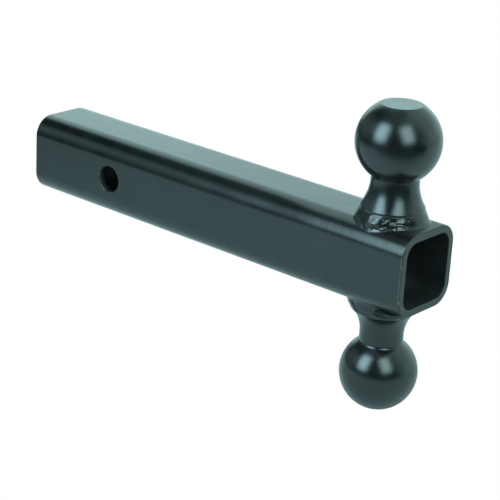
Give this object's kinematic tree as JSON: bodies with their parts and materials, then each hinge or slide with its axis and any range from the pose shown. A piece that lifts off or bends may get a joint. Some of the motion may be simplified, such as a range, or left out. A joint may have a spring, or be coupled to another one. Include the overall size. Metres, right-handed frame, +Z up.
{
  "type": "trailer hitch ball mount",
  "caption": "Square-tube trailer hitch ball mount with a cross pin hole at the rear, a large tow ball welded on top of its front end and a smaller one welded beneath it.",
  "frame": {"origin": "middle of the cross pin hole, on the axis of the square tube", "axes": "+X forward along the tube to the balls, +Y along the pin hole, +Z up through the upper ball"},
  "size_m": [0.3071, 0.0508, 0.1894],
  "materials": {
    "shank_paint": "satin black paint on drawn steel tube",
    "ball_paint": "semi-gloss black paint on turned steel",
    "weld_paint": "semi-gloss black paint over an as-laid weld bead"
  },
  "bodies": {
    "root": {"shank_tube": "shank_paint", "upper_ball": "ball_paint", "lower_ball": "ball_paint", "upper_weld_bead": "weld_paint", "lower_weld_bead": "weld_paint"}
  },
  "joints": []
}
